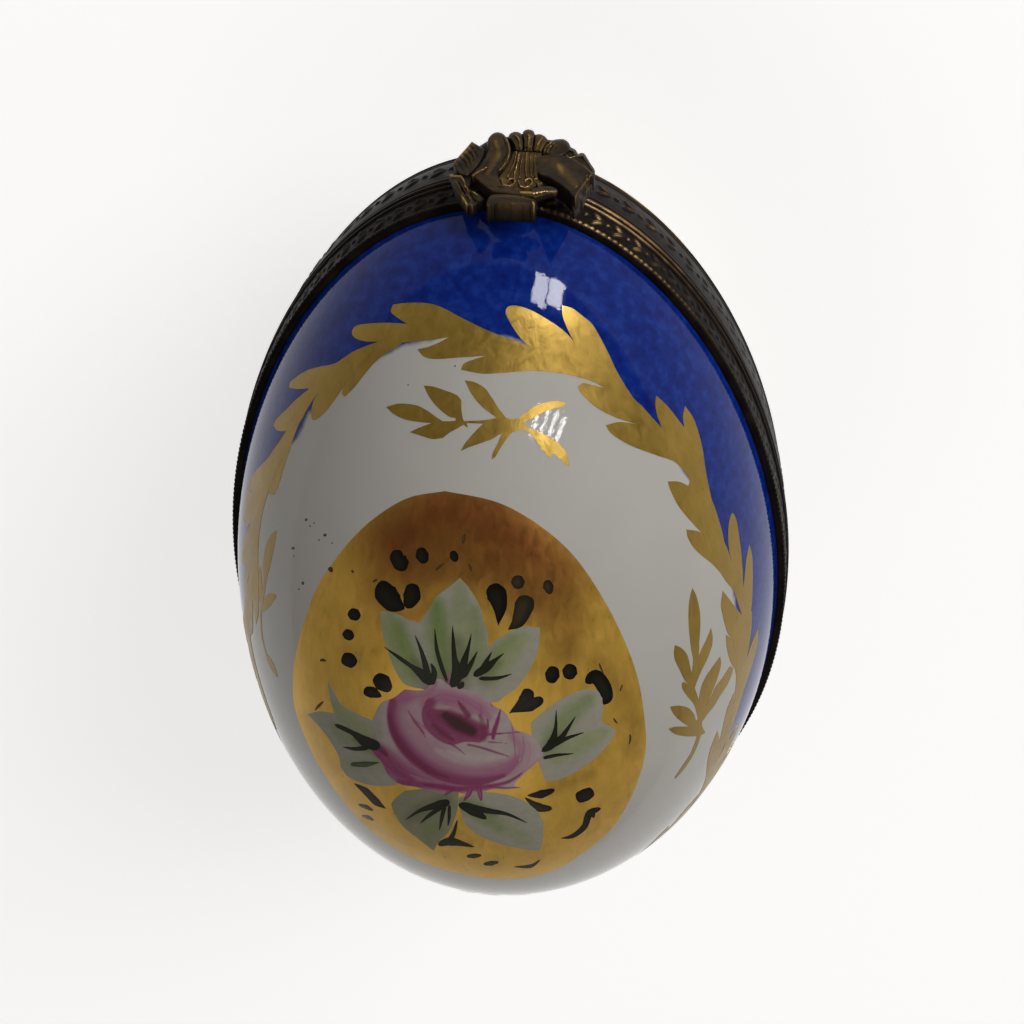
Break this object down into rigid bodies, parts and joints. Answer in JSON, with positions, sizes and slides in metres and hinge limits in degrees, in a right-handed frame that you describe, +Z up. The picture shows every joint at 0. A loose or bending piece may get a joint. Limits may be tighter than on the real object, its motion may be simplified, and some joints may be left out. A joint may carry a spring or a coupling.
{
  "type": "porcelain egg box",
  "caption": "Egg-shaped porcelain keepsake box lying on a flat foot, split lengthwise, with brass bezels, a hinged lid and a cast lyre snap clasp.",
  "frame": {"origin": "centre of the flat foot on the underside of the base", "axes": "+Z up through the crown of the lid, +Y along the egg from the clasp at the narrow end to the hinge at the blunt end, +X to the right when looking at the clasp from outside with the lid up"},
  "size_m": [0.0444, 0.0733, 0.0435],
  "materials": {
    "porcelain": "glossy white glaze, cobalt ground, hand-painted enamel and gilding",
    "cement": "matte plaster",
    "bezel_brass": "embossed brass with a dark bronze patina",
    "fitting_brass": "cast brass with a rubbed bronze patina"
  },
  "bodies": {
    "base": {"base_shell": "porcelain", "base_rim_cement": "cement", "base_bezel": "bezel_brass", "base_hinge_leaf": "bezel_brass", "base_knuckle_left": "bezel_brass", "base_knuckle_right": "bezel_brass", "hinge_pin": "fitting_brass", "catch_stud": "fitting_brass"},
    "lid": {"lid_shell": "porcelain", "lid_rim_cement": "cement", "lid_bezel": "bezel_brass", "lid_hinge_leaf": "bezel_brass", "lid_knuckle": "bezel_brass", "clasp_motif": "fitting_brass", "clasp_thumb_tab": "fitting_brass", "clasp_tongue": "fitting_brass"}
  },
  "joints": [
    {"name": "lid_hinge", "type": "hinge", "parent": "base", "child": "lid", "pos_m": [0, 0.03271, 0.0202], "axis": [-1, 0, 0], "range_deg": [0, 100]}
  ]
}
